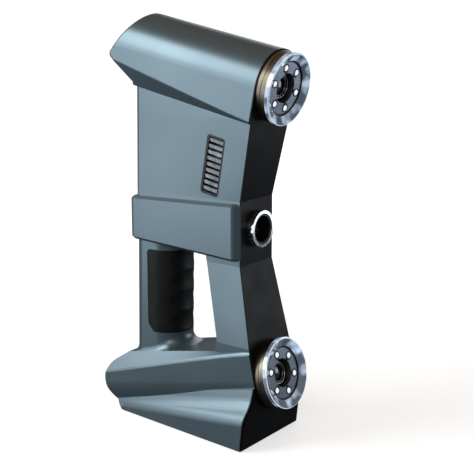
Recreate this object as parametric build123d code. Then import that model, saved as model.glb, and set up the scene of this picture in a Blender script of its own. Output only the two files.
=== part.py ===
from build123d import *
import math
import os

# Handheld structured-light scanner, millimetres.
# +Z is up, -Y is the side that looks at the scanned thing, X = 0 is the plane of symmetry.
# The origin is the middle of the flat base, so the scanner stands on z = 0.

# ---- driving dimensions: body -------------------------------------------------------------
RING_Y = -79.6            # front rim of both camera rings
LOWER_RING_Z = 57.0
UPPER_RING_Z = 277.0
TOE_IN = 11.5             # each camera leans this many degrees towards the middle
BARREL_R = 28.0
FACE_DEPTH = 12.0         # from a ring's front rim back to the black front cover
FRONT_Y = -50.1           # upright stretch of the front cover at the waist
NOSE_Z = 49.5             # where the lower slope of the front cover turns back to the base
BASE_FRONT_Y = -63.5
BACK_Y = 58.8             # back of the handle at BACK_Z
BACK_Z = 50.0
BACK_LEAN = 1.15          # degrees, the back leans forwards going up
REAR_HALF = 20.5          # half width at the back of the body
REAR_R = 6.0              # its rear corners
REAR_SPLAY = 0.055        # steepest run of the side panels towards the front
COVER_T = 1.2             # black facing of the front
WALL = 2.6                # shell wall
PAD_T = 0.8               # rubber pad under the foot
BODY_WIDTHS = [(26.0, 31.8), (141.8, 21.3), (192.2, 21.3), (255.0, 25.4), (300.0, 26.2)]
TOP_Z = 345.0             # above everything

# ---- driving dimensions: handle and finger hole -------------------------------------------
HANDLE_R = 20.5           # half-round front of the handle
HANDLE_CENTRE_Y = 38.0
HANDLE_CORNER_R = 8.0
HANDLE_WALL = 4.6
HOLE_TOP = 151.5
COLUMN_TOP_Y = -15.2      # back of the front column, at the top of the hole
COLUMN_LOW_Y = -29.6      # and at its foot
COLUMN_LOW_Z = 82.0
BLEND_R = 10.0            # from the column into the floor of the hole
GRIP_T = 2.2
GRIP_TOP = 143.6
GRIP_BOTTOM = 74.6
GRIP_BACK_Y = 43.8
GRIP_GAP = 0.25
FINGER_PITCH = 17.0
FINGER_DEPTH = 1.2
FINGER_R = 30.0           # roundness of a finger wave, up and down
FINGER_FADE = 4.0         # how far its axis lies behind the handle's, so that it fades out

# ---- driving dimensions: head and foot ----------------------------------------------------
BARREL_TIP = 157.0        # rear tip of the upper barrel, along its own axis
BARREL_TIP_DROP = 8.4
BARREL_TOP_END = 136.0
BARREL_FLOOR = 28.0
TIP_R = 4.0
EDGE_R = 2.5
FOOT_FLOOR = 24.5         # top of the lower barrel, the floor of the finger hole
TAIL_POINT = (95.4, 32.6)
TAIL_R = 20.0
BASE_REAR_Y = 71.6

# ---- driving dimensions: collar, vent, rear controls and sockets --------------------------
COLLAR_PROUD = 3.9
COLLAR_T = 5.2
COLLAR_CHAMFER = 2.2
COLLAR_FRONT_Y = -45.0    # where its sides turn in to the front edge
COLLAR_CORNER_R = 4.5
VENT_Y = -24.4
VENT_Z = 218.0
VENT_W = 17.4
VENT_H = 47.0
VENT_FRAME = 1.7
SLATS = 9
SLAT_SHARE = 0.56         # height of a slat over the pitch
SLAT_TILT = 14.0
FAN_Y = -21.0
FAN_SIZE = 40.0
FAN_T = 10.0
FAN_BLADES = 7
BEZEL_HALF = 10.0
BEZEL_Z = (194.0, 240.0)
BEZEL_Y = (51.4, 56.1)
BUTTONS = {"scan_button": (228.0, 6.6), "plus_button": (213.0, 4.6), "minus_button": (200.8, 4.6)}
BUTTON_PROUD = 1.3
BAY_HALF = 16.0
BAY_Z = (20.0, 34.0)
BAY_FLOOR_Y = 77.0
BAY_WALL = 1.8
POWER_X, POWER_Z = -7.0, 27.0
DATA_X, DATA_Z = 7.5, 27.0

# ---- driving dimensions: main board and fits ----------------------------------------------
BOARD_X = 10.0
BOARD_T = 1.6
BOARD_Y = (4.0, 38.0)
BOARD_Z = (196.0, 262.0)
CLEAR = 0.2               # gap round a part that sits in an opening

# ---- driving dimensions: cameras and projector --------------------------------------------
BEZEL_DEPTH = 3.6         # clear bezel of a camera ring
HOUSING_R = 27.2          # metal band behind it
SLEEVE_R = 20.0
PLATE_DEPTH = 4.2         # rim to the face of the lamp plate
PLATE_R = 19.7
NOTCH_ANGLES = (30.0, 150.0, 270.0)
WELL_R = 11.4             # dark well around the lens
LENS_DEPTH = 8.4
LENS_BARREL_R = 8.8
LAMPS = 6
LAMP_CIRCLE_R = 15.9
LAMP_PHASE = 44.5
LAMP_WELL_R = 2.7
PROJECTOR_Z = 169.0
PROJECTOR_BORE_R = 10.4
PROJECTOR_R = 12.0
FOCUS_RING_R = 14.4
FOCUS_RING_Y = (-56.4, -50.4)
FOCUS_RING_RIBS = 24
RUNNING_GAP = 0.05
SPINE_DEPTH = 6.0
SPINE_T = 3.0
SCREWS = [(43.0, 206.0), (44.0, 262.0), (-28.0, 254.0), (-38.0, 112.0), (48.0, 100.0)]
TRIPOD_R = 2.6
TRIPOD_OUTER_R = 5.0
TRIPOD_TOP = 12.0


# ---- shape helpers ------------------------------------------------------------------------
def lean(angle):
    return math.tan(math.radians(angle))


TILT_COS = math.cos(math.radians(TOE_IN))
TILT_SIN = math.sin(math.radians(TOE_IN))
FACE_Y = RING_Y + FACE_DEPTH * TILT_COS
WAIST_TOP = UPPER_RING_Z + FACE_DEPTH * TILT_SIN - (FRONT_Y - FACE_Y) / lean(TOE_IN)
WAIST_BOTTOM = UPPER_RING_Z + LOWER_RING_Z - WAIST_TOP


def front_y(z):
    """Front of the body at height z: upright at the waist, leaning out above and below it."""
    if z > WAIST_TOP:
        return FRONT_Y - (z - WAIST_TOP) * lean(TOE_IN)
    if z > WAIST_BOTTOM:
        return FRONT_Y
    if z > NOSE_Z:
        return FRONT_Y - (WAIST_BOTTOM - z) * lean(TOE_IN)
    nose_y = FRONT_Y - (WAIST_BOTTOM - NOSE_Z) * lean(TOE_IN)
    return BASE_FRONT_Y + (nose_y - BASE_FRONT_Y) * z / NOSE_Z


def back_y(z):
    """Back of the body and handle at height z."""
    return BACK_Y - (z - BACK_Z) * lean(BACK_LEAN)


def front_half(z):
    """Half width of the body at its front cover, at height z."""
    for (z0, w0), (z1, w1) in zip(BODY_WIDTHS, BODY_WIDTHS[1:]):
        if z <= z1:
            return w0 + (w1 - w0) * (z - z0) / (z1 - z0)
    return BODY_WIDTHS[-1][1]


def panel_half(y, z):
    """Half width of the body at a point of its side panel."""
    share = (y - front_y(z)) / (back_y(z) - front_y(z))
    return front_half(z) + (REAR_HALF - front_half(z)) * share


def side_face(points, inset=0.0, corners=()):
    """A face in the YZ plane from (y, z) points, with (point, radius) corners rounded."""
    face = Plane.YZ * Polygon(*points, align=None)
    for (y, z), radius in corners:
        near = face.vertices().sort_by_distance((0, y, z))[0]
        face = fillet(near, radius)
    return offset(face, -inset, kind=Kind.INTERSECTION) if inset else face


def across(face, half=60.0):
    """A side face pulled out both ways along X."""
    return extrude(face, amount=half, both=True)


def side_prism(points, half=60.0):
    return across(side_face(points), half)


def camera_frame(upper):
    """Local frame of a camera: origin at its front rim, z back along its axis, y up."""
    sign = 1 if upper else -1
    centre = (0, RING_Y, UPPER_RING_Z if upper else LOWER_RING_Z)
    return Plane(origin=centre, x_dir=(-1, 0, 0), z_dir=(0, TILT_COS, sign * TILT_SIN)).location


def along(r, start, end):
    """A cylinder on the local z axis from start to end."""
    return Pos(0, 0, start) * Cylinder(r, end - start, align=(Align.CENTER, Align.CENTER, Align.MIN))


def tube(outer, inner, start, end):
    return along(outer, start, end) - along(inner, start - 1, end + 1)


def block(x, y, z):
    """A box from three (low, high) pairs."""
    size = [b - a for a, b in (x, y, z)]
    middle = [(a + b) / 2 for a, b in (x, y, z)]
    return Pos(*middle) * Box(*size)


def polygon_at(plane, points):
    return plane * make_face(Polyline(*points, close=True))


def both_sides(points):
    """An outline of right-hand (x, z) points closed by its mirror image."""
    return points + [(-x, z) for x, z in reversed(points)]


def look_y(y, r, z, x=0.0, length=1.0):
    """A cylinder along +Y that starts at y."""
    return Plane(origin=(x, y, z), z_dir=(0, 1, 0)).location * along(r, 0, length)


def look_x(x, r, y, z, length):
    """A cylinder along +X that starts at x."""
    return Plane(origin=(x, y, z), z_dir=(1, 0, 0)).location * along(r, 0, length)


def rounded_edges(solid, radius, test):
    """Fillets the edges whose midpoint, length and edge pass the test."""
    chosen = [e for e in solid.edges() if test(e @ 0.5, e.length)]
    return solid.fillet(radius, chosen)


# ---- outer form of the body; inset makes the same form smaller all round -------------------
def web(inset=0.0):
    """Flat-sided middle of the body: head web, waist and front column."""
    margin = 6.0
    sections = []
    for z, half in BODY_WIDTHS:
        grow = (half - REAR_HALF) * margin / (back_y(z) - front_y(z))
        w = half - inset + grow
        b = REAR_HALF - inset - grow
        sections.append(polygon_at(Pos(0, 0, z), [
            (-w, front_y(z) - margin), (w, front_y(z) - margin),
            (b, back_y(z) + margin), (-b, back_y(z) + margin)]))
    flank = loft(sections, ruled=True)
    frame = camera_frame(True)
    front = (frame * Pos(0, -21, FACE_DEPTH)).position
    back = (frame * Pos(0, -21, 131)).position
    low = 28.0
    outline = side_face([
        (front_y(low), low), (front_y(NOSE_Z), NOSE_Z), (FRONT_Y, WAIST_BOTTOM),
        (FRONT_Y, WAIST_TOP), (front.Y, front.Z), (back_y(back.Z), back.Z),
        (back_y(HOLE_TOP), HOLE_TOP), (COLUMN_TOP_Y, HOLE_TOP), (COLUMN_LOW_Y, COLUMN_LOW_Z),
        (COLUMN_LOW_Y - 2, low)], inset)
    return flank & across(outline) & rear_corners(inset)


def rear_corners(inset):
    """Upright prism that rounds the two rear corners of the body and leaves its sides free."""
    back = back_y(0) - inset
    half = REAR_HALF - inset
    reach = 150.0
    face = make_face(Polyline((-half, back), (half, back), (half + reach * REAR_SPLAY, back - reach),
                              (-half - reach * REAR_SPLAY, back - reach), close=True))
    face = fillet(face.vertices().sort_by(Axis.Y)[-2:], REAR_R - inset)
    rise = Vector(0, -lean(BACK_LEAN), 1).normalized()
    return extrude(face, amount=TOP_Z / rise.Z, dir=rise)


def handle(inset=0.0, bottom=46.0, top=158.0):
    """Upright handle: half-round front, flat sides and softly cornered back."""
    r = HANDLE_R - inset
    back = back_y(bottom) - inset
    centre = HANDLE_CENTRE_Y + back_y(bottom) - back_y(100)
    sides = Polyline((-r, centre), (-r, back), (r, back), (r, centre))
    front = ThreePointArc((r, centre), (0, centre - r), (-r, centre))
    section = make_face([sides.edges(), front.edges()])
    section = fillet(section.vertices().sort_by(Axis.Y)[-2:], HANDLE_CORNER_R - inset / 2)
    rise = Vector(0, -lean(BACK_LEAN), 1).normalized()
    return extrude(Pos(0, 0, bottom) * section, amount=(top - bottom) / rise.Z, dir=rise)


def barrel(end, floor, edges, waists, sign, inset):
    """A round barrel on a camera's axis, flat-sided towards the middle of the body."""
    r = BARREL_R - inset
    half_space = Pos(0, 50 * sign, 80) * Box(200, 100, 300)
    sections = []
    for s, edge, waist in zip((FACE_DEPTH, end), edges, waists):
        w = waist - inset
        corner = min(edge - inset / 2, floor - inset - 0.4)
        side = [(r, 0), (r, -sign * corner), (w, -sign * (floor - inset))]
        sections.append(polygon_at(Pos(0, 0, s), both_sides(side)))
    return (along(r, FACE_DEPTH, end) & half_space) + loft(sections, ruled=True)


def upper_barrel(inset=0.0):
    """Half-round head behind the upper camera; its undercut fades out to the front."""
    solid = barrel(170.0, BARREL_FLOOR, (27.2, 9.0), (25.6, 19.8), 1, inset)
    rear = [(FACE_DEPTH, -60), (131.5, -60), (131.5, -26.2 + inset),
            (BARREL_TIP - 1.6 * inset, -BARREL_TIP_DROP),
            (BARREL_TOP_END - 1.2 * inset, BARREL_R), (FACE_DEPTH, BARREL_R + 5)]
    plane = Plane(origin=(0, 0, 0), x_dir=(0, 0, 1), z_dir=(-1, 0, 0))
    solid = solid & extrude(plane * Polygon(*rear, align=None), amount=60, both=True)
    if not inset:
        solid = rounded_edges(solid, TIP_R, lambda m, size: m.Z > 150 and abs(m.X) < 1 and m.Y < 0)
        solid = rounded_edges(solid, EDGE_R, lambda m, size: m.Z > 133 and m.Y > -12 and abs(m.X) > 1)
        solid = rounded_edges(solid, EDGE_R, lambda m, size: size > 80 and abs(m.X) > 27 and m.Y < -1)
    return camera_frame(True) * solid


def lower_barrel(inset=0.0):
    """Round lower barrel whose flat top is the floor of the finger hole."""
    solid = barrel(180.0, FOOT_FLOOR, (24.0, 7.6), (25.6, 19.0), -1, inset)
    if not inset:
        solid = rounded_edges(solid, 4.0, lambda m, size: size > 100 and abs(m.X) > 27.9 and m.Y > 1)
    return camera_frame(False) * solid & across(foot_face(inset))


def floor_z(y):
    """Height of the finger hole's floor at y."""
    return LOWER_RING_Z + FOOT_FLOOR / TILT_COS - (y - RING_Y) * lean(TOE_IN)


def column_blend():
    """Concave blend from the back of the front column into the floor of the finger hole."""
    sunk = 0.1
    top = (COLUMN_LOW_Y - sunk, COLUMN_LOW_Z)
    corner = (COLUMN_LOW_Y - 0.37 - sunk, floor_z(COLUMN_LOW_Y - 0.37) - sunk)
    end_y = COLUMN_LOW_Y + BLEND_R
    end = (end_y, floor_z(end_y) - sunk)
    below = [(end_y, end[1] - 2), (corner[0] - 2, corner[1] - 2), (top[0] - 2, top[1])]
    profile = side_face([top, corner, end] + below, 0.0, [(corner, BLEND_R)])
    plan = make_face(Polyline((-25.6, corner[0] - 3), (25.6, corner[0] - 3), (25.0, corner[0]), (23.9, -21.6),
                              (23.8, end_y), (-23.8, end_y), (-23.9, -21.6), (-25.0, corner[0]), close=True))
    return across(profile) & extrude(plan, amount=120)


def foot_face(inset=0.0):
    """Side outline shared by the lower barrel and the flared foot."""
    points = [(-90, 0), (BASE_REAR_Y, 0), TAIL_POINT, (52.0, 61.6), (-20, 100), (-90, 100)]
    return side_face(points, inset, [(TAIL_POINT, TAIL_R), ((BASE_REAR_Y, 0), 5.0)])


def foot(inset=0.0):
    """Flared foot: near-vertical sides at the floor, drawn in to the barrel above."""
    front = [(43.0, 0), (42.5, 28.5), (36.2, 36.0), (32.0, 42.5), (30.2, 52.0), (20.0, 58.0)]
    rear = [(23.1, 0), (22.6, 2.4), (22.0, 5.0), (21.5, 8.0), (21.2, 12.0), (12.0, 16.0)]
    sections = []
    for y, side in ((-80.0, front), (95.0, rear)):
        plane = Plane(origin=(0, y, 0), x_dir=(1, 0, 0), z_dir=(0, -1, 0))
        sections.append(polygon_at(plane, both_sides([(x - inset, z) for x, z in side])))
    solid = loft(sections, ruled=True)
    solid = rounded_edges(solid, 14.0, lambda m, size: size > 100 and 5 < m.Z < 32 and abs(m.X) > 20)
    solid = solid & across(foot_face(inset)) & side_prism(behind_front(0.0, 120.0))
    if not inset:
        solid = rounded_edges(solid, 2.0, lambda m, size: m.Y < -63 and abs(m.X) > 29.5 and m.Z < 49)
        solid = rounded_edges(solid, 1.5, lambda m, size: m.Z < 0.1 and abs(m.X) > 25)
    return solid


def behind_front(depth, far):
    """(y, z) outline from the front of the body, moved back by depth, to y = far."""
    heights = (TOP_Z, WAIST_TOP, WAIST_BOTTOM, NOSE_Z, -5.0)
    return [(front_y(z) + depth, z) for z in heights] + [(far, -5.0), (far, TOP_Z)]


def body_form():
    """Outer form of the two shells and the front cover together."""
    form = web() + handle() + upper_barrel() + lower_barrel() + foot() + column_blend()
    hole_front = (HOLE_TOP, COLUMN_TOP_Y)
    form = rounded_edges(form, 5.0, lambda m, size: size > 30 and abs(m.X) < 1
                         and abs(m.Z - hole_front[0]) < 0.2 and abs(m.Y - hole_front[1]) < 1)
    return rounded_edges(form, 8.0, lambda m, size: size > 9 and abs(m.X) < 21 and m.Y > 15
                         and 50 < m.Z < 66 and not (abs(m.X) < 1 and m.Y > 60))


def body_hollow():
    return web(WALL) + handle(HANDLE_WALL) + upper_barrel(WALL) + lower_barrel(WALL) + foot(WALL)


# ---- shells and what is cut from them -----------------------------------------------------
def vent_place(side):
    """Local frame on a side panel: origin at the vent, z outwards, y up along the lean."""
    def point(dy, dz):
        y, z = VENT_Y + dy, VENT_Z + dz
        return Vector(side * panel_half(y, z), y, z)
    step = 5.0
    up = (point(-step * lean(TOE_IN), step) - point(step * lean(TOE_IN), -step)).normalized()
    rearwards = (point(step, 0) - point(-step, 0)).normalized()
    outwards = rearwards.cross(up) * side
    return Plane(origin=point(0, 0), x_dir=up.cross(outwards), z_dir=outwards).location


def vent_opening(side):
    window = extrude(RectangleRounded(VENT_W, VENT_H, 2.6), amount=8, both=True)
    return vent_place(side) * window


def grip_outline(grow=0.0):
    """Side outline of the rubber grip, from its back line forwards."""
    face = side_face([(0, GRIP_TOP), (GRIP_BACK_Y, GRIP_TOP), (GRIP_BACK_Y, 81.0),
                      (GRIP_BACK_Y - 5.6, GRIP_BOTTOM), (0, GRIP_BOTTOM)], 0.0,
                     [((GRIP_BACK_Y, GRIP_TOP), 3.0), ((GRIP_BACK_Y, 81.0), 5.0)])
    return offset(face, grow, kind=Kind.INTERSECTION) if grow else face


def screw_post(y, z, reach):
    """A round post along X for one shell screw."""
    return look_x(-reach, 3.2, y, z, 2 * reach)


def bay_box(grow):
    return block((-BAY_HALF - grow, BAY_HALF + grow), (BAY_FLOOR_Y - grow, 100),
                 (BAY_Z[0] - grow, BAY_Z[1] + grow))


def shell(side, form, hollow):
    """One half of the case: side is -1 for the left half and 1 for the right."""
    half_space = block(sorted((0, side * 80)), (-120, 120), (-5, TOP_Z))
    room = hollow & half_space
    case = (form & half_space) - room - side_prism(behind_front(COVER_T, -120.0))
    inside = room & side_prism(behind_front(SPINE_DEPTH, 120.0))
    posts = [look_x(-30, 3.2, y, z, 60) for y, z in SCREWS]
    posts.append(along(TRIPOD_OUTER_R + 3, PAD_T, TRIPOD_TOP + 2))
    if side > 0:
        posts += [look_x(FAN_T / 2, 2.2, FAN_Y + 16 * a, VENT_Z + 16 * b, 25)
                  for a in (-1, 1) for b in (-1, 1)]
        posts += [look_x(BOARD_X + BOARD_T, 2.0, y, z, 20)
                  for y in (BOARD_Y[0] + 4, BOARD_Y[1] - 4) for z in (BOARD_Z[0] + 4, BOARD_Z[1] - 4)]
    for post in posts:
        case += post & inside
    for upper in (True, False):
        case -= camera_frame(upper) * along(SLEEVE_R + CLEAR, 0, 40)
    case -= look_y(-80, PROJECTOR_R + CLEAR, PROJECTOR_Z, length=60)
    case -= vent_opening(side)
    case -= (handle() - handle(GRIP_T)) & across(grip_outline(GRIP_GAP))
    case -= block((-BEZEL_HALF, BEZEL_HALF), (BEZEL_Y[0], 70), BEZEL_Z)
    case -= bay_box(BAY_WALL)
    case -= along(TRIPOD_OUTER_R, -1, TRIPOD_TOP)
    case -= block((-80, 80), (-120, 120), (-5, PAD_T))
    for y, z in SCREWS:
        if side < 0:
            case -= look_x(-12, 1.5, y, z, 24)
        else:
            case -= look_x(-12, 1.7, y, z, 50)
            case -= look_x(outer_half(y, z) - 3.4, 3.0, y, z, 20)
    return case


def outer_half(y, z):
    """Outer half width at a shell screw, on the panels or on the handle."""
    return REAR_HALF if z < HOLE_TOP and y > 0 else panel_half(y, z)


def front_cover(form):
    """Black facing of the front with a bore for each camera and one for the projector."""
    cover = form & side_prism(behind_front(COVER_T, -120.0))
    cover -= block((-80, 80), (-120, 120), (-5, PAD_T))
    for upper in (True, False):
        cover -= camera_frame(upper) * along(SLEEVE_R + CLEAR, 0, 60)
    return cover - look_y(-80, PROJECTOR_R + CLEAR, PROJECTOR_Z, length=60)


def collars(form):
    """Raised band round the waist, as a left and a right half that meet at the back."""
    rear = back_y(PROJECTOR_Z) + 2.3
    outline = [(0, rear), (REAR_HALF + COLLAR_PROUD, rear),
               (front_half(167) + COLLAR_PROUD + 0.6, COLLAR_FRONT_Y),
               (front_half(167) - 0.1, FRONT_Y), (0, FRONT_Y)]
    faces = []
    for side in (-1, 1):
        face = make_face(Polyline(*[(side * x, y) for x, y in outline], close=True))
        corners = [v for v in face.vertices() if abs(v.X) > REAR_HALF + 2]
        faces.append(fillet(corners, COLLAR_CORNER_R))
    slab = side_prism([(70, 186.6), (-60, 191.0), (-60, 145.0), (70, 152.2)])
    halves = []
    for side, face in zip((-1, 1), faces):
        solid = extrude(face, amount=240) & slab
        solid = chamfered(solid, COLLAR_CHAMFER, lambda m, size: abs(m.X) > 22 and size > 20
                          and (m.Z > 180 or m.Z < 156))
        inner = make_face(Polyline(*[(side * x, y) for x, y in [
            (-1, rear - COLLAR_T), (outline[1][0] - COLLAR_T, rear - COLLAR_T),
            (outline[2][0] - COLLAR_T, COLLAR_FRONT_Y), (outline[2][0] - COLLAR_T, -60), (-1, -60)]], close=True))
        halves.append(solid - extrude(inner, amount=240) - form)
    return halves


def chamfered(solid, length, test):
    chosen = [e for e in solid.edges() if test(e @ 0.5, e.length)]
    return solid.chamfer(length, None, chosen)


def grip_insert():
    """Rubber grip let into the front of the handle, with a wave for each finger."""
    insert = (handle() - handle(GRIP_T)) & across(grip_outline())
    middle = (GRIP_TOP + GRIP_BOTTOM) / 2
    axis_y = HANDLE_CENTRE_Y + FINGER_FADE
    bottom_r = HANDLE_R + FINGER_FADE - FINGER_DEPTH
    for i in range(4):
        z = middle + (i - 1.5) * FINGER_PITCH
        wave = Torus(bottom_r + FINGER_R, FINGER_R)
        insert -= Pos(0, axis_y - (z - 100) * lean(BACK_LEAN), z) * wave
    return insert


def vent_frame(side):
    """Rounded frame that lines one vent."""
    w, h = VENT_W - CLEAR, VENT_H - CLEAR
    outline = RectangleRounded(w, h, 2.5) - Rectangle(w - 2 * VENT_FRAME, h - 2 * VENT_FRAME)
    return vent_place(side) * Pos(0, 0, -2.9) * extrude(outline, amount=2.7)


def vent_slats(side):
    """Metal slats that cross the vent inside its frame."""
    width = VENT_W - CLEAR - 2 * VENT_FRAME
    pitch = (VENT_H - CLEAR - 2 * VENT_FRAME) / SLATS
    slat = Rot(SLAT_TILT, 0, 0) * Box(width, pitch * SLAT_SHARE, 0.9)
    return [vent_place(side) * Pos(0, (i - (SLATS - 1) / 2) * pitch, -1.5) * slat for i in range(SLATS)]


def shell_screws():
    """The screws that hold the right shell to the left one."""
    screws = []
    for y, z in SCREWS:
        outer = outer_half(y, z)
        screw = look_x(outer - 3.4, 2.8, y, z, 2.2) + look_x(-10, 1.45, y, z, outer - 3.4 + 10)
        socket = Plane(origin=(outer - 3.4 + 1.0, y, z), z_dir=(1, 0, 0)) * RegularPolygon(1.3, 6)
        screws.append(screw - extrude(socket, amount=3))
    return screws


# ---- cameras ------------------------------------------------------------------------------
def ring_band():
    """Metal band of a camera ring, with the sleeve that plugs into the front cover."""
    band = tube(HOUSING_R, 22.4, BEZEL_DEPTH, FACE_DEPTH)
    seat = tube(22.4, LENS_BARREL_R + 5.2, PLATE_DEPTH + 3.0, FACE_DEPTH)
    sleeve = tube(SLEEVE_R, SLEEVE_R - 2, FACE_DEPTH, 17.8)
    groove = tube(40, HOUSING_R - 0.6, 8.0, 8.5)
    return band + seat + sleeve - groove


def ring_bezel():
    """Clear outer bezel with a bevel that falls to the lamp plate."""
    profile = make_face(Polyline((21.2, BEZEL_DEPTH), (BARREL_R, BEZEL_DEPTH), (BARREL_R, 0.8),
                                 (BARREL_R - 0.8, 0), (BARREL_R - 1.6, 0), (21.2, BEZEL_DEPTH - 0.8),
                                 close=True))
    bezel = turned(profile)
    for angle in NOTCH_ANGLES:
        bezel -= Rot(0, 0, angle) * Pos(24.6, 0, 0.9) * Box(2.6, 4.2, 2.2)
    return bezel


def ring_gasket():
    """Black seal between the bezel and the lamp plate."""
    return tube(22.3, PLATE_R + 0.05, PLATE_DEPTH + 0.5, PLATE_DEPTH + 3.0)


def turned(profile):
    """Revolves an (r, depth) profile about the local z axis."""
    return revolve(Plane.XZ * profile, axis=Axis.Z)


def lamp_places():
    for i in range(LAMPS):
        angle = math.radians(180 - LAMP_PHASE - i * 360 / LAMPS)
        yield LAMP_CIRCLE_R * math.cos(angle), LAMP_CIRCLE_R * math.sin(angle)


def lamp_plate():
    """Plate that carries the lamps round the lens well."""
    plate = tube(PLATE_R, WELL_R, PLATE_DEPTH, PLATE_DEPTH + 3.0)
    for x, y in lamp_places():
        plate -= Pos(x, y, 0) * along(LAMP_WELL_R, PLATE_DEPTH - 1, PLATE_DEPTH + 1.4)
    return plate


def lamps():
    """Six domed white lamps, one in each well of the plate."""
    made = []
    for x, y in lamp_places():
        dome = Pos(0, 0, PLATE_DEPTH + 0.6) * Sphere(1.7)
        lamp = along(1.7, PLATE_DEPTH + 0.6, PLATE_DEPTH + 1.4) + (dome & along(3, PLATE_DEPTH - 2, PLATE_DEPTH + 0.6))
        made.append(Pos(x, y, 0) * lamp)
    return made


def lens_barrel():
    front = tube(LENS_BARREL_R, 6.9, LENS_DEPTH, 10.6)
    return front + tube(LENS_BARREL_R, 5.6, 10.6, 30.0)


def lens_glass():
    cap = Pos(0, 0, 9.2 + 14.0) * Sphere(14.0) & along(6.8, 8, 11)
    return cap & along(6.8, 9.0, 10.6)


def well_floor():
    """Dark baffle that closes the well round a lens."""
    return tube(WELL_R + 2.4, LENS_BARREL_R + 0.05, PLATE_DEPTH + 6.2, PLATE_DEPTH + 7.4)


def camera_board():
    board = Pos(0, 0, 34.8) * Box(30, 30, 1.6)
    plug = Pos(0, -10, 36.6) * Box(12, 4, 2.0)
    return board + plug


def image_sensor():
    holder = Pos(0, 0, 32.0) * Box(18, 18, 4.0)
    return holder


# ---- projector ----------------------------------------------------------------------------
def focus_ring():
    """Ribbed ring that turns on the projector barrel."""
    start, end = FOCUS_RING_Y
    ring = tube(FOCUS_RING_R - 0.7, PROJECTOR_R + RUNNING_GAP, 0, end - start)
    for i in range(FOCUS_RING_RIBS):
        rib = Pos(FOCUS_RING_R - 0.9, 0, (end - start) / 2) * Box(1.8, 1.7, end - start - 1.6)
        ring += Rot(0, 0, i * 360 / FOCUS_RING_RIBS) * rib
    lip = tube(FOCUS_RING_R, PROJECTOR_R + RUNNING_GAP, 0, 1.0)
    return projector_frame(start) * (ring + lip)


def projector_frame(y):
    """Local frame on the projector's axis with z going back from y."""
    return Plane(origin=(0, y, PROJECTOR_Z), x_dir=(-1, 0, 0), z_dir=(0, 1, 0)).location


def projector_barrel():
    return projector_frame(-55.8) * (tube(PROJECTOR_R, PROJECTOR_BORE_R, 0, 16.0)
                                     + tube(PROJECTOR_R, 8.6, 11.5, 16.0))


def projector_lens():
    return projector_frame(0) * (along(PROJECTOR_BORE_R, -48.5, -44.3)
                                 & (Pos(0, 0, -48.5 + 24) * Sphere(24.0)))


def light_engine():
    return block((-14, 14), (-39.8, -4.0), (156.5, 181.5)) - block((-6, 6), (-41, -37), (163, 175))


def heat_sink():
    sink = block((-14, 14), (-4.0, -1.5), (156.5, 181.5))
    for i in range(8):
        x = -14 + i * 26.4 / 7
        sink += block((x, x + 1.6), (-1.5, 12), (156.5, 181.5))
    return sink


# ---- inside -------------------------------------------------------------------------------
def spine():
    """Bent aluminium plate behind the front cover that keeps both cameras in line."""
    near, far = SPINE_DEPTH, SPINE_DEPTH + SPINE_T
    heights = (296.0, WAIST_TOP, WAIST_BOTTOM, 62.0)
    front = [(front_y(z) + near, z) for z in heights]
    back = [(front_y(z) + far, z) for z in reversed(heights)]
    plate = side_prism(front + back, 13.0)
    for upper in (True, False):
        plate -= camera_frame(upper) * along(LENS_BARREL_R + 0.1, 0, 60)
    return plate - look_y(-80, PROJECTOR_R + CLEAR, PROJECTOR_Z, length=60)


def main_board():
    board = block((BOARD_X, BOARD_X + BOARD_T), BOARD_Y, BOARD_Z)
    board += block((BOARD_X - 2.2, BOARD_X), (14, 32), (214, 232))
    board += block((BOARD_X - 1.4, BOARD_X), (12, 22), (240, 254))
    return board


def fan_housing():
    """Square fan frame with a hub on three spokes and the rotor's pin."""
    half = FAN_SIZE / 2
    frame = Plane(origin=(0, FAN_Y, VENT_Z), x_dir=(0, 1, 0), z_dir=(1, 0, 0)).location
    body = extrude(RectangleRounded(FAN_SIZE, FAN_SIZE, 3), amount=FAN_T / 2, both=True)
    body -= along(half - 1.4, -10, 10)
    hub = along(8.5, -FAN_T / 2, -FAN_T / 2 + 1.4)
    for i in range(3):
        spoke = Pos(half / 2, 0, -FAN_T / 2 + 0.7) * Box(half - 0.6, 2.2, 1.4)
        hub += Rot(0, 0, 90 + i * 120) * spoke
    hub += along(1.2, -FAN_T / 2, FAN_T / 2 - 1.0)
    return frame * (body + hub)


def fan_rotor():
    """Hub and twisted blades that spin on the pin."""
    frame = Plane(origin=(0, FAN_Y, VENT_Z), x_dir=(0, 1, 0), z_dir=(1, 0, 0)).location
    rotor = along(8.6, -FAN_T / 2 + 1.8, FAN_T / 2 - 0.6)
    for i in range(FAN_BLADES):
        blade = Pos(12.6, 0, 0.5) * Rot(32, 0, 0) * Box(9.4, 8.4, 1.0)
        rotor += Rot(0, 0, i * 360 / FAN_BLADES) * blade
    rotor -= along(1.2 + RUNNING_GAP, -10, FAN_T / 2 - 0.9)
    return frame * rotor


def control_bezel():
    """Plate in the back of the body that guides the three buttons."""
    x = (-BEZEL_HALF + CLEAR, BEZEL_HALF - CLEAR)
    plate = block(x, (BEZEL_Y[0] + CLEAR, BEZEL_Y[1]), (BEZEL_Z[0] + CLEAR, BEZEL_Z[1] - CLEAR))
    plate = rounded_edges(plate, 0.6, lambda m, size: m.Y > BEZEL_Y[1] - 0.1)
    for z, r in BUTTONS.values():
        plate -= look_y(40, r + 0.08, z, length=40)
    return plate


def button(z, r):
    """Push button with a flange that keeps it behind the bezel."""
    flange_y = BEZEL_Y[0] - 1.9
    cap = look_y(flange_y, r, z, length=BEZEL_Y[1] + BUTTON_PROUD - flange_y)
    cap = rounded_edges(cap, 0.5, lambda m, size: m.Y > BEZEL_Y[1])
    return cap + look_y(flange_y, r + 1.2, z, length=1.6)


def button_board():
    return block((-9, 9), (46.6, 48.2), (BEZEL_Z[0] + 1, BEZEL_Z[1] - 1))


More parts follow.
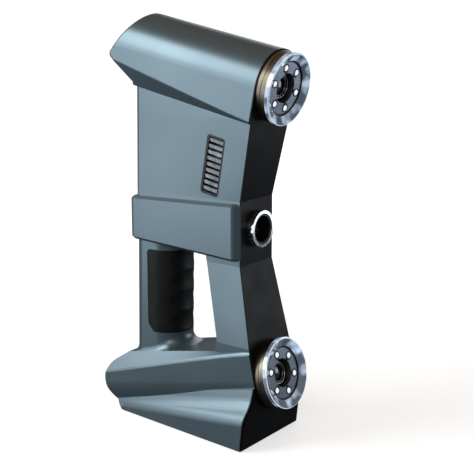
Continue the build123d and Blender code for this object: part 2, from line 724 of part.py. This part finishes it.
def socket_bay(form):
    """Open-backed tray in the tail that carries the two sockets."""
    tray = (bay_box(BAY_WALL - CLEAR) & form) - bay_box(0)
    tray -= look_y(60, 4.6, POWER_Z, POWER_X, 60)
    return tray - data_outline(5.3, 2.7, 60)


def data_outline(half_x, half_z, length):
    plane = Plane(origin=(DATA_X, 60, DATA_Z), x_dir=(1, 0, 0), z_dir=(0, 1, 0))
    return extrude(plane * RectangleRounded(2 * half_x, 2 * half_z, half_z * 0.85), amount=length)


def power_inlet():
    """Round low-voltage inlet with its centre pin."""
    start = BAY_FLOOR_Y - 12
    inlet = look_y(start, 4.5, POWER_Z, POWER_X, 13.2) - look_y(start + 3, 2.9, POWER_Z, POWER_X, 20)
    return inlet + look_y(start, 1.0, POWER_Z, POWER_X, 12.0)


def data_socket():
    """Flat data socket with its tongue."""
    start = BAY_FLOOR_Y - 9
    band = block((-60, 60), (start, BAY_FLOOR_Y + 1.0), (0, 60))
    inner = block((-60, 60), (start + 2, BAY_FLOOR_Y + 9), (0, 60))
    socket = (data_outline(5.2, 2.6, 40) & band) - (data_outline(4.5, 1.7, 40) & inner)
    return socket + block((DATA_X - 3.2, DATA_X + 3.2), (start, BAY_FLOOR_Y - 0.5), (DATA_Z - 0.35, DATA_Z + 0.35))


def power_board():
    return block((-13, 13), (30.0, 64.0), (24.0, 25.6)) + block((-8, 2), (40, 50), (25.6, 31))


def base_pad():
    """Thin rubber sole under the foot, with a hole for the tripod screw."""
    sole = section_of_foot(1.6)
    return extrude(sole, amount=PAD_T) - along(TRIPOD_OUTER_R + 1, -1, 3)


def section_of_foot(inset):
    """Outline of the foot at the floor, drawn in by inset."""
    front, rear = (BASE_FRONT_Y + inset, 40.8 - inset), (BASE_REAR_Y - 2.6 - inset, 25.8 - inset)
    face = make_face(Polyline(*[(x, y) for y, x in (front, rear)],
                              *[(-x, y) for y, x in (rear, front)], close=True))
    return fillet(face.vertices(), 3.0)


def tripod_insert():
    body = tube(TRIPOD_OUTER_R - 0.02, TRIPOD_R, PAD_T, TRIPOD_TOP - 0.5)
    return body


def write(name, shape):
    """Writes one sub-part; a list of solids becomes one node."""
    solids = shape if isinstance(shape, list) else [shape]
    solids = [s for part in solids for s in part.solids()]
    export_step(Compound(solids) if len(solids) > 1 else solids[0], f"parts/{name}.step")


def main():
    os.makedirs("parts", exist_ok=True)
    form = body_form()
    hollow = body_hollow()
    left_collar, right_collar = collars(form)
    parts = {
        "left_shell": shell(-1, form, hollow), "right_shell": shell(1, form, hollow),
        "front_cover": front_cover(form),
        "left_collar": left_collar, "right_collar": right_collar,
        "grip_insert": grip_insert(), "shell_screws": shell_screws(),
        "left_vent_frame": vent_frame(-1), "right_vent_frame": vent_frame(1),
        "left_vent_slats": vent_slats(-1), "right_vent_slats": vent_slats(1),
        "focus_ring": focus_ring(), "projector_barrel": projector_barrel(),
        "projector_lens": projector_lens(), "light_engine": light_engine(), "heat_sink": heat_sink(),
        "spine_frame": spine(), "main_board": main_board(), "power_board": power_board(),
        "fan_housing": fan_housing(), "fan_rotor": fan_rotor(),
        "control_bezel": control_bezel(), "button_board": button_board(),
        "socket_bay": socket_bay(form), "power_inlet": power_inlet(), "data_socket": data_socket(),
        "base_pad": base_pad(), "tripod_insert": tripod_insert()}
    for name, (z, r) in BUTTONS.items():
        parts[name] = button(z, r)
    camera_parts = (ring_band, ring_bezel, ring_gasket, lamp_plate, lamps, lens_barrel, lens_glass,
                    well_floor, camera_board, image_sensor)
    for place, upper in (("upper", True), ("lower", False)):
        frame = camera_frame(upper)
        for make in camera_parts:
            made = make()
            solids = made if isinstance(made, list) else [made]
            parts[f"{place}_{make.__name__}"] = [frame * s for s in solids]
    for name, shape in parts.items():
        write(name, shape)


if __name__ == "__main__":
    main()
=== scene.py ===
import math

import bmesh
import bpy
from mathutils import Matrix, Vector


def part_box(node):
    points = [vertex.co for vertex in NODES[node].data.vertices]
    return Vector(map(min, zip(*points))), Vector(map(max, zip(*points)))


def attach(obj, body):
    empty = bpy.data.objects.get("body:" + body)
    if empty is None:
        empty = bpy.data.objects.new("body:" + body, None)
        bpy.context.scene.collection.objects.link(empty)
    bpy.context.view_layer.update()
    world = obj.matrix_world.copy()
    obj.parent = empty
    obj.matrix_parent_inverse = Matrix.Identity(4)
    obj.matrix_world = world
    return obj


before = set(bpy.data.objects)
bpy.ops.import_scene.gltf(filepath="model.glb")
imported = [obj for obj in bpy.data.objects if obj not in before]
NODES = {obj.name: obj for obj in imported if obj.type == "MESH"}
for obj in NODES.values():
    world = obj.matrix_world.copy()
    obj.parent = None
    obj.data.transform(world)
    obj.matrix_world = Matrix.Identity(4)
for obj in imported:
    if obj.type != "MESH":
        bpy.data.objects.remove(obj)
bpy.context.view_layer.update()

# ---- driving values, in metres, in the frame's own axes ------------------------------------
TOE_IN = math.radians(11.5)
RING_Y = -0.0796
RINGS = {"upper": (0.277, 1), "lower": (0.057, -1)}      # height of the axis, and which way it leans
PLATE_DEPTH = 0.0042                 # rim to the face of the lamp plate
LENS_DEPTH = 0.0084                  # rim to the front of the lens barrel
LENS_BARREL_R = 0.0088
LAMPS = 6
LAMP_CIRCLE_R = 0.0159
LAMP_PHASE = math.radians(44.5)
# beads turned round a ring's axis: radius, depth behind the rim, thickness
RIM_BEAD = (0.0272, 0.0009, 0.0015)
LENS_EDGE_BEAD = (LENS_BARREL_R - 0.0004, LENS_DEPTH, 0.0007)
LENS_RETAINER = (0.0068, LENS_DEPTH + 0.0009, 0.0005)
THREADS = 6
THREAD_R = 0.0113
THREAD_START = PLATE_DEPTH + 0.0006
THREAD_PITCH = 0.0008
THREAD_THICKNESS = 0.0005
CUP_OUTER_R = 0.0032
CUP_INNER_R = 0.0024
CUP_HEIGHT = 0.00035
CUP_SINK = 0.0004                    # how far the cup's inner wall goes below the plate's face
CUP_POINT = 0.0013                   # length of the cup's point
CUP_POINT_WIDTH = 0.3
CUP_STEPS = 48
CUP_WALL = 0.0002
LAMP_LENS_R = 0.00225
LAMP_LENS_SINK = 0.0002
LAMP_LENS_FLATNESS = 0.6
SCREEN_X = 0.0177
SCREEN_SIZE = (0.0003, 0.0164, 0.046)
MARK_LONG = 0.0042
MARK_SHORT = 0.0009
MARK_HEIGHT = 0.0004
MARK_BEVEL = 0.00012
SCAN_MARK = (0.0036, 0, 0.0006)


def centre(node):
    low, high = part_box(node)
    return (low + high) / 2


def ring_place(place):
    """Matrix of a camera ring: origin on its axis at the front rim, z into the scanner."""
    height, sign = RINGS[place]
    inwards = Vector((0, math.cos(TOE_IN), sign * math.sin(TOE_IN)))
    across = Vector((-1, 0, 0))
    up = inwards.cross(across)
    turn = Matrix((across, up, inwards)).transposed().to_4x4()
    return Matrix.Translation((0, RING_Y, height)) @ turn


# ---- material building blocks --------------------------------------------------------------
def blended(tree, amount, low, high):
    """Colour that goes from low to high with the amount, as an output socket."""
    mix = tree.nodes.new("ShaderNodeMix")
    mix.data_type = "RGBA"
    ends = [socket for socket in mix.inputs if socket.type == "RGBA"]
    ends[0].default_value = (*low, 1)
    ends[1].default_value = (*high, 1)
    tree.links.new(amount, mix.inputs[0])
    return [socket for socket in mix.outputs if socket.type == "RGBA"][0]


class Shader:
    """A Principled material whose colour, roughness and relief are made of noise."""

    def __init__(self, name, colour, roughness, metallic=0.0, coat=0.0, coat_roughness=0.05, ior=1.5):
        self.material = bpy.data.materials.new(name)
        self.material.use_nodes = True
        self.tree = self.material.node_tree
        self.bsdf = self.tree.nodes["Principled BSDF"]
        self.bsdf.inputs["Base Color"].default_value = (*colour, 1)
        self.bsdf.inputs["Roughness"].default_value = roughness
        self.bsdf.inputs["Metallic"].default_value = metallic
        self.bsdf.inputs["Coat Weight"].default_value = coat
        self.bsdf.inputs["Coat Roughness"].default_value = coat_roughness
        self.bsdf.inputs["IOR"].default_value = ior
        self.colour = colour
        self.roughness = roughness
        self.place = self.tree.nodes.new("ShaderNodeTexCoord").outputs["Object"]

    def node(self, kind, **values):
        made = self.tree.nodes.new(kind)
        for key, value in values.items():
            if key in made.inputs:
                made.inputs[key].default_value = value
            else:
                setattr(made, key, value)
        return made

    def link(self, source, target):
        self.tree.links.new(source, target)

    def noise(self, scale, detail=3.0, stretch=(1, 1, 1), turn=(0, 0, 0)):
        mapping = self.node("ShaderNodeMapping")
        mapping.inputs["Scale"].default_value = stretch
        mapping.inputs["Rotation"].default_value = turn
        self.link(self.place, mapping.inputs["Vector"])
        texture = self.node("ShaderNodeTexNoise", Scale=scale, Detail=detail)
        self.link(mapping.outputs["Vector"], texture.inputs["Vector"])
        return texture.outputs["Fac"]

    def ranged(self, source, low, high, start=0.3, end=0.7):
        node = self.node("ShaderNodeMapRange")
        node.inputs["From Min"].default_value = start
        node.inputs["From Max"].default_value = end
        node.inputs["To Min"].default_value = low
        node.inputs["To Max"].default_value = high
        self.link(source, node.inputs["Value"])
        return node.outputs["Result"]

    def vary_colour(self, source, other, start=0.35, end=0.65):
        """Drifts from the base colour to another one where the source is high."""
        amount = self.ranged(source, 0, 1, start, end)
        self.link(blended(self.tree, amount, self.colour, other), self.bsdf.inputs["Base Color"])
        return self

    def vary_roughness(self, source, spread):
        low = max(self.roughness - spread, 0.02)
        self.link(self.ranged(source, low, self.roughness + spread), self.bsdf.inputs["Roughness"])
        return self

    def relief(self, source, strength, distance):
        bump = self.node("ShaderNodeBump", Strength=strength, Distance=distance)
        self.link(source, bump.inputs["Height"])
        self.link(bump.outputs["Normal"], self.bsdf.inputs["Normal"])
        return self

    def glow(self, colour, strength):
        """Emission of a fixed strength, or of one that a socket gives."""
        self.bsdf.inputs["Emission Color"].default_value = (*colour, 1)
        if isinstance(strength, bpy.types.NodeSocket):
            self.link(strength, self.bsdf.inputs["Emission Strength"])
        else:
            self.bsdf.inputs["Emission Strength"].default_value = strength
        return self


# ---- the materials -------------------------------------------------------------------------
def shell_paint():
    paint = Shader("slate_paint", (0.15, 0.205, 0.235), 0.35, metallic=0.75)
    flake = paint.noise(5200, 1.0)
    cloud = paint.noise(14, 2.0)
    paint.vary_colour(flake, (0.168, 0.224, 0.255))
    paint.vary_roughness(cloud, 0.035)
    return paint.relief(flake, 0.05, 0.00004)


def black_cover():
    # near-black front cover; part of its darkness is painted shade of the front faces, which turn away from
    # the light
    cover = Shader("matt_black", (0.0025, 0.0023, 0.002), 0.42)
    cover.bsdf.inputs["Specular IOR Level"].default_value = 0.16
    grain = cover.noise(3600, 2.0)
    cover.vary_colour(cover.noise(60, 3.0), (0.0055, 0.005, 0.0045))
    cover.vary_roughness(cover.noise(35, 2.0), 0.05)
    return cover.relief(grain, 0.22, 0.00006)


def grip_rubber():
    # near-black rubber of the base pad; on the grip insert this near-black is painted shade of the handle's
    # front
    rubber = Shader("grip_rubber", (0.0035, 0.0033, 0.003), 0.5)
    rubber.bsdf.inputs["Specular IOR Level"].default_value = 0.3
    grain = rubber.noise(2400, 2.0)
    rubber.vary_colour(rubber.noise(90, 3.0), (0.007, 0.0068, 0.0065))
    rubber.vary_roughness(rubber.noise(220, 2.0), 0.07)
    return rubber.relief(grain, 0.35, 0.0001)


def black_plastic():
    plastic = Shader("black_plastic", (0.016, 0.016, 0.017), 0.46)
    plastic.vary_colour(plastic.noise(120, 3.0), (0.024, 0.024, 0.026))
    plastic.vary_roughness(plastic.noise(260, 2.0), 0.06)
    return plastic.relief(plastic.noise(3000, 2.0), 0.25, 0.00008)


def black_anodised():
    alloy = Shader("black_anodised", (0.022, 0.022, 0.025), 0.3, metallic=0.85)
    alloy.vary_colour(alloy.noise(300, 2.0), (0.034, 0.034, 0.038))
    alloy.vary_roughness(alloy.noise(700, 2.0, stretch=(1, 12, 1)), 0.06)
    return alloy.relief(alloy.noise(2500, 2.0, stretch=(1, 8, 1)), 0.12, 0.00004)


def metal(name, colour, other, roughness, stretch=(1, 1, 1), spread=0.05, turn=(0, 0, 0), bump=0.1):
    """A metal with drawn or turned lines along the direction that stretch leaves coarse."""
    made = Shader(name, colour, roughness, metallic=1.0)
    lines = made.noise(900, 3.0, stretch, turn)
    made.vary_colour(lines, other)
    made.vary_roughness(made.noise(140, 2.0), spread)
    return made.relief(lines, bump, 0.00003)


def vent_metal():
    louvre = Shader("louvre_metal", (0.74, 0.79, 0.84), 0.3, metallic=0.35)
    louvre.vary_colour(louvre.noise(90, 2.0), (0.34, 0.38, 0.42))
    return louvre.vary_roughness(louvre.noise(140, 2.0), 0.06)


def chrome_ring():
    return metal("chrome", (0.82, 0.83, 0.85), (0.72, 0.73, 0.76), 0.12, (1, 3, 1), 0.03, bump=0.05)


def bronze_band(sign):
    """Turned lines run round the ring's own axis, which leans by the toe-in."""
    turn = (sign * TOE_IN, 0, 0)
    return metal(f"bronze_band_{sign + 1}", (0.25, 0.215, 0.165), (0.16, 0.135, 0.105), 0.38,
                 stretch=(0.04, 2.2, 0.04), spread=0.05, turn=turn, bump=0.18)


def dark_alloy():
    return metal("dark_alloy", (0.14, 0.14, 0.15), (0.10, 0.10, 0.11), 0.45, (1, 1, 1), 0.08, bump=0.4)


def bare_alloy():
    return metal("bare_alloy", (0.70, 0.71, 0.73), (0.60, 0.61, 0.64), 0.34, (0.2, 3, 0.2))


def screw_steel():
    return metal("blackened_steel", (0.20, 0.20, 0.21), (0.13, 0.13, 0.14), 0.32, (2, 1, 1))


def socket_metal():
    return metal("nickel", (0.66, 0.65, 0.62), (0.56, 0.55, 0.53), 0.25, (1, 0.2, 1))


def thread_brass():
    return metal("brass", (0.72, 0.54, 0.26), (0.58, 0.42, 0.2), 0.28, (0.3, 0.3, 3))


def clear_bezel():
    """Clear ring with a painted glow, brighter in some places than in others: painted highlight and
    reflection, since the ring is no lamp.
    """
    bezel = Shader("bright_bezel", (0.46, 0.56, 0.70), 0.16, metallic=0.4, coat=1.0, coat_roughness=0.03)
    bezel.vary_colour(bezel.noise(70, 3.0), (0.30, 0.39, 0.54))
    bezel.vary_roughness(bezel.noise(200, 2.0), 0.04)
    # painted highlight: emission where the noise is high
    painted_glint = bezel.ranged(bezel.noise(95, 1.0), 0.0, 0.6, 0.47, 0.68)
    return bezel.glow((0.66, 0.80, 1.0), painted_glint)


def lamp_plate_grey():
    plate = Shader("lamp_plate", (0.17, 0.20, 0.25), 0.36, metallic=0.6)
    plate.vary_colour(plate.noise(500, 2.0), (0.22, 0.26, 0.32))
    plate.vary_roughness(plate.noise(900, 2.0), 0.06)
    return plate.relief(plate.noise(4200, 2.0), 0.2, 0.00005)


def lamp_white():
    lamp = Shader("lamp_white", (0.93, 0.95, 1.0), 0.18, coat=0.8)
    lamp.vary_colour(lamp.noise(500, 2.0), (0.86, 0.90, 0.98))
    return lamp.glow((0.9, 0.95, 1.0), 0.8)


def lens_glass():
    glass = Shader("coated_glass", (0.010, 0.012, 0.018), 0.04, coat=1.0, coat_roughness=0.02, ior=1.75)
    glass.vary_colour(glass.noise(160, 2.0), (0.020, 0.016, 0.034))
    return glass.vary_roughness(glass.noise(300, 2.0), 0.015)


def circuit_board():
    board = Shader("solder_mask", (0.012, 0.11, 0.045), 0.34, coat=0.3)
    board.vary_colour(board.noise(420, 4.0, stretch=(1, 1, 3)), (0.018, 0.15, 0.06))
    board.vary_roughness(board.noise(300, 2.0), 0.06)
    return board.relief(board.noise(1200, 3.0), 0.2, 0.00006)


def button_white():
    cap = Shader("button_white", (0.66, 0.68, 0.71), 0.34, coat=0.2)
    cap.vary_colour(cap.noise(200, 2.0), (0.60, 0.62, 0.66))
    return cap.relief(cap.noise(3000, 2.0), 0.1, 0.00005)


def button_grey():
    cap = Shader("button_grey", (0.075, 0.08, 0.09), 0.42)
    cap.vary_colour(cap.noise(200, 2.0), (0.095, 0.1, 0.115))
    return cap.relief(cap.noise(3000, 2.0), 0.2, 0.00006)


def well_black():
    # near-black of the lens-well floors and ring gaskets; on the gaskets it is painted shade for the deep
    # gap round each lamp plate
    well = Shader("well_black", (0.006, 0.006, 0.007), 0.5)
    well.vary_colour(well.noise(300, 2.0), (0.010, 0.010, 0.011))
    return well.relief(well.noise(2500, 2.0), 0.2, 0.00006)


FINISHES = {
    shell_paint: ["left_shell", "right_shell", "left_collar", "right_collar"],
    black_cover: ["front_cover"],
    grip_rubber: ["grip_insert", "base_pad"],
    screw_steel: ["shell_screws"],
    vent_metal: ["left_vent_slats", "right_vent_slats"],
    chrome_ring: ["focus_ring"],
    black_anodised: ["projector_barrel", "upper_lens_barrel", "lower_lens_barrel"],
    lens_glass: ["projector_lens", "upper_lens_glass", "lower_lens_glass"],
    dark_alloy: ["light_engine"],
    bare_alloy: ["heat_sink", "spine_frame"],
    circuit_board: ["main_board", "power_board", "button_board", "upper_camera_board", "lower_camera_board"],
    black_plastic: ["fan_housing", "fan_rotor", "control_bezel", "socket_bay", "upper_image_sensor",
                    "lower_image_sensor", "left_vent_frame", "right_vent_frame"],
    well_black: ["upper_well_floor", "lower_well_floor", "upper_ring_gasket", "lower_ring_gasket"],
    socket_metal: ["power_inlet", "data_socket"],
    thread_brass: ["tripod_insert"],
    button_white: ["scan_button"],
    button_grey: ["plus_button", "minus_button"],
    clear_bezel: ["upper_ring_bezel", "lower_ring_bezel"],
    lamp_plate_grey: ["upper_lamp_plate", "lower_lamp_plate"],
    lamp_white: ["upper_lamps", "lower_lamps"],
}


def paint(node, material):
    slots = NODES[node].material_slots
    for slot in slots:
        slot.material = material
    if not slots:
        NODES[node].data.materials.append(material)


def paint_all():
    for finish, nodes in FINISHES.items():
        material = finish().material
        for node in nodes:
            paint(node, material)
    for place, (_, sign) in RINGS.items():
        paint(f"{place}_ring_band", bronze_band(sign).material)


# ---- pieces made here ----------------------------------------------------------------------
def add_piece(name, form, material, body, place=Matrix.Identity(4), bevel=0.0):
    """Turns a bmesh into a piece that rides on a body."""
    bmesh.ops.recalc_face_normals(form, faces=form.faces)
    mesh = bpy.data.meshes.new(name)
    form.to_mesh(mesh)
    form.free()
    mesh.transform(place)
    mesh.materials.append(material)
    mesh.shade_smooth()
    piece = bpy.data.objects.new(name, mesh)
    bpy.context.scene.collection.objects.link(piece)
    if bevel:
        edge = piece.modifiers.new("soft_edges", "BEVEL")
        edge.width = bevel
        edge.segments = 3
        edge.limit_method = "ANGLE"
        edge.harden_normals = True
    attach(piece, body)
    return piece


def lathe(form, section, around=160, place=Matrix.Identity(4)):
    """Turns a closed section of (radius, depth) points about the local z axis."""
    rings = []
    for k in range(around):
        angle = 2 * math.pi * k / around
        rings.append([form.verts.new(place @ Vector((r * math.cos(angle), r * math.sin(angle), depth)))
                      for r, depth in section])
    for k in range(around):
        here, there = rings[k], rings[(k + 1) % around]
        for i in range(len(section)):
            j = (i + 1) % len(section)
            form.faces.new((here[i], here[j], there[j], there[i]))


def round_section(r, depth, thickness, steps=14):
    """A circle of that thickness at (r, depth), as a section for lathe."""
    return [(r + thickness / 2 * math.cos(2 * math.pi * k / steps),
             depth + thickness / 2 * math.sin(2 * math.pi * k / steps)) for k in range(steps)]


def rim_line(place, material):
    """Polished bead that runs round the front edge of a bezel."""
    form = bmesh.new()
    lathe(form, round_section(*RIM_BEAD))
    add_piece(f"{place}_rim_bead", form, material, "case", ring_place(place))


def lens_trim(place, material):
    """Bright edge of the lens barrel and the retaining ring in front of the glass."""
    form = bmesh.new()
    lathe(form, round_section(*LENS_EDGE_BEAD))
    lathe(form, round_section(*LENS_RETAINER))
    add_piece(f"{place}_lens_trim", form, material, "case", ring_place(place))


def well_threads(place, material):
    """Fine threads on the wall of the dark well round a lens."""
    form = bmesh.new()
    for i in range(THREADS):
        depth = THREAD_START + i * THREAD_PITCH
        lathe(form, round_section(THREAD_R, depth, THREAD_THICKNESS, steps=8), around=96)
    add_piece(f"{place}_well_threads", form, material, "case", ring_place(place))


def lamp_spots():
    for i in range(LAMPS):
        angle = math.pi - LAMP_PHASE - i * 2 * math.pi / LAMPS
        spot = Vector((math.cos(angle), math.sin(angle), 0)) * LAMP_CIRCLE_R
        yield angle, Matrix.Translation(spot)


def cup_loop(form, place, r, depth, pointed):
    """One loop of points of a lamp cup, round or drawn out to a point."""
    loop = []
    for k in range(CUP_STEPS):
        around = 2 * math.pi * k / CUP_STEPS
        point = max(0.0, -math.cos(around)) ** 5 * CUP_POINT if pointed else 0.0
        x = (r + point) * math.cos(around)
        y = (r + point * CUP_POINT_WIDTH) * math.sin(around)
        loop.append(form.verts.new(place @ Vector((x, y, PLATE_DEPTH + depth))))
    return loop


def lamp_cups(place, material):
    """Drop-shaped dark cup round each lamp, its point towards the lens."""
    form = bmesh.new()
    for angle, spot in lamp_spots():
        turned = spot @ Matrix.Rotation(angle, 4, "Z")
        loops = [cup_loop(form, turned, CUP_OUTER_R, 0.0, True),
                 cup_loop(form, turned, CUP_OUTER_R, -CUP_HEIGHT, True),
                 cup_loop(form, turned, CUP_INNER_R, -CUP_HEIGHT, False),
                 cup_loop(form, turned, CUP_INNER_R, CUP_SINK, False)]
        for low, high in zip(loops, loops[1:]):
            for k in range(CUP_STEPS):
                after = (k + 1) % CUP_STEPS
                form.faces.new((low[k], low[after], high[after], high[k]))
    piece = add_piece(f"{place}_lamp_cups", form, material, "case", ring_place(place))
    solid = piece.modifiers.new("wall", "SOLIDIFY")
    solid.thickness = CUP_WALL


def lamp_lenses(place, material):
    """Shallow clear-white lens over each lamp."""
    form = bmesh.new()
    for _, spot in lamp_spots():
        sunk = Matrix.Translation((0, 0, PLATE_DEPTH + LAMP_LENS_SINK))
        dome = spot @ sunk @ Matrix.Diagonal((1, 1, LAMP_LENS_FLATNESS, 1))
        bmesh.ops.create_uvsphere(form, u_segments=32, v_segments=16, radius=LAMP_LENS_R, matrix=dome)
    add_piece(f"{place}_lamp_lenses", form, material, "case", ring_place(place))


def vent_shade_sheet(side, material):
    """Dark sheet behind the slats of a vent, leaning as the vent does: painted shade for the inside of the
    vent.
    """
    form = bmesh.new()
    for corner in bmesh.ops.create_cube(form, size=1.0)["verts"]:
        corner.co *= Vector(SCREEN_SIZE)
    name = "left" if side < 0 else "right"
    middle = centre(f"{name}_vent_slats")
    middle.x = side * SCREEN_X
    place = Matrix.Translation(middle) @ Matrix.Rotation(TOE_IN, 4, "X")
    add_piece(f"{name}_vent_shade_sheet", form, material, "case", place)


def raised_bar(form, middle, along, across):
    """A flat bar on a face that looks along +Y."""
    for corner in bmesh.ops.create_cube(form, size=1.0)["verts"]:
        corner.co = middle + corner.co * Vector((along, MARK_HEIGHT, across))


def button_marks(material):
    """Raised plus, minus and ring on the ends of the three buttons."""
    for name in ("plus", "minus", "scan"):
        node = f"{name}_button"
        middle = centre(node)
        middle.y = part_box(node)[1].y
        form = bmesh.new()
        bevel = MARK_BEVEL
        if name == "scan":
            facing = Matrix.Translation(middle) @ Matrix.Rotation(math.pi / 2, 4, "X")
            lathe(form, round_section(*SCAN_MARK), 64, facing)
            bevel = 0.0
        else:
            raised_bar(form, middle, MARK_LONG, MARK_SHORT)
        if name == "plus":
            raised_bar(form, middle, MARK_SHORT, MARK_LONG)
        add_piece(f"{name}_mark", form, material, node, bevel=bevel)


def add_pieces():
    # the bead's glow is a painted highlight on polished metal, which is no lamp
    bead = metal("polished_bead_painted_glint", (0.86, 0.92, 1.0), (0.78, 0.86, 0.97), 0.08,
                 spread=0.02, bump=0.02).glow((0.78, 0.87, 1.0), 0.7).material
    trim = metal("lens_trim_metal", (0.74, 0.75, 0.78), (0.6, 0.61, 0.64), 0.16,
                 stretch=(1, 3, 1), spread=0.04).material
    black = black_plastic().material
    white = lamp_white().material
    for place in RINGS:
        rim_line(place, bead)
        lens_trim(place, trim)
        well_threads(place, black)
        lamp_cups(place, black)
        lamp_lenses(place, white)
    for side in (-1, 1):
        vent_shade_sheet(side, black)
    button_marks(button_white().material)


# ---- floor, light and camera ---------------------------------------------------------------
FLOOR_R = 3.0
BOWL_R = 1.5
FLAT_SHARE = 0.3                     # part of the floor's radius that is one flat face
WALL_TOP = 1.0                       # straight wall above the bowl
FLOOR_GLOW = 0.63                    # near the scanner, rising to 1 at the far end of the range
GLOW_RANGE = (0.3, 1.6)
ROOM_SIDE = (0.085, 0.095, 0.11)
ROOM_TOP = (0.21, 0.155, 0.11)
ROOM_BLEND = (0.1, 0.8)              # heights on the unit sphere between which the room warms
LIGHT_AIM = (0, 0, 0.16)
# name, place, width, height, watts, colour
LIGHTS = (
    ("high_left_bank", (-0.95, 0.85, 0.85), 0.9, 0.9, 13.0, (0.93, 0.97, 1.0)),
    ("low_left_card", (-0.85, 0.62, 0.14), 0.55, 0.5, 1.9, (0.90, 0.96, 1.0)),
    ("front_left_fill", (-1.2, -0.5, 0.7), 0.8, 0.8, 4.0, (0.95, 0.98, 1.0)),
    ("right_fill", (1.1, 0.35, 0.5), 0.8, 0.8, 2.6, (0.95, 0.98, 1.0)),
    ("front_right_card", (0.62, -0.55, 0.15), 0.5, 0.3, 0.9, (0.86, 0.93, 1.0)),
)


def studio_bowl():
    """Plain pale floor that curves up into a round wall."""
    steps = 16
    around = 96
    profile = [(FLOOR_R * FLAT_SHARE, 0.0)]
    for i in range(steps + 1):
        angle = i * math.pi / 2 / steps
        profile.append((FLOOR_R + BOWL_R * math.sin(angle), BOWL_R * (1 - math.cos(angle))))
    profile.append((FLOOR_R + BOWL_R, BOWL_R + WALL_TOP))
    form = bmesh.new()
    rings = []
    for r, z in profile:
        ring = []
        for k in range(around):
            angle = 2 * math.pi * k / around
            ring.append(form.verts.new((r * math.cos(angle), r * math.sin(angle), z)))
        rings.append(ring)
    form.faces.new(rings[0])
    for low, high in zip(rings, rings[1:]):
        for k in range(around):
            form.faces.new((low[k], low[(k + 1) % around], high[(k + 1) % around], high[k]))
    mesh = bpy.data.meshes.new("studio_floor")
    form.to_mesh(mesh)
    form.free()
    for face in mesh.polygons:
        face.use_smooth = len(face.vertices) == 4
    floor = bpy.data.objects.new("studio_floor", mesh)
    bpy.context.scene.collection.objects.link(floor)
    floor.visible_diffuse = False
    floor.visible_glossy = False
    floor.visible_shadow = False
    pale = Shader("studio_pale", (0.80, 0.80, 0.80), 0.8)
    pale.vary_roughness(pale.noise(3, 2.0), 0.05)
    distance = pale.node("ShaderNodeVectorMath", operation="LENGTH")
    pale.link(pale.place, distance.inputs[0])
    pale.glow((1, 1, 1), pale.ranged(distance.outputs["Value"], FLOOR_GLOW, 1.0, *GLOW_RANGE))
    mesh.materials.append(pale.material)


def area_light(name, place, width, height, watts, colour):
    data = bpy.data.lights.new(name, "AREA")
    data.shape = "RECTANGLE"
    data.size = width
    data.size_y = height
    data.energy = watts
    data.color = colour
    light = bpy.data.objects.new(name, data)
    light.location = place
    light.rotation_euler = (Vector(LIGHT_AIM) - Vector(place)).to_track_quat("-Z", "Y").to_euler()
    light.visible_camera = False
    bpy.context.scene.collection.objects.link(light)


def dim_room(tree):
    """Cool and dim round the horizon, warmer towards the ceiling."""
    place = tree.nodes.new("ShaderNodeTexCoord").outputs["Generated"]
    height = tree.nodes.new("ShaderNodeSeparateXYZ")
    tree.links.new(place, height.inputs[0])
    blend = tree.nodes.new("ShaderNodeMapRange")
    blend.inputs["From Min"].default_value = ROOM_BLEND[0]
    blend.inputs["From Max"].default_value = ROOM_BLEND[1]
    tree.links.new(height.outputs["Z"], blend.inputs["Value"])
    colour = blended(tree, blend.outputs["Result"], ROOM_SIDE, ROOM_TOP)
    tree.links.new(colour, tree.nodes["Background"].inputs["Color"])


def studio_light():
    scene = bpy.context.scene
    scene.view_settings.view_transform = "Standard"
    world = bpy.data.worlds.new("studio")
    world.use_nodes = True
    dim_room(world.node_tree)
    scene.world = world
    for light in LIGHTS:
        area_light(*light)


CAMERA_PLACE = Vector((-0.6886, -0.52364, 0.34442))
CAMERA_AIM = Vector((0, -0.0313, 0.15945))
CAMERA_LENS = 83.67
SENSOR = 36.0


def add_camera():
    data = bpy.data.cameras.new("camera")
    data.sensor_width = SENSOR
    data.lens = CAMERA_LENS
    data.clip_start = 0.05
    data.clip_end = 50
    camera = bpy.data.objects.new("camera", data)
    camera.location = CAMERA_PLACE
    camera.rotation_euler = (CAMERA_AIM - CAMERA_PLACE).to_track_quat("-Z", "Y").to_euler()
    bpy.context.scene.collection.objects.link(camera)
    bpy.context.scene.camera = camera


paint_all()
add_pieces()
studio_bowl()
studio_light()
add_camera()
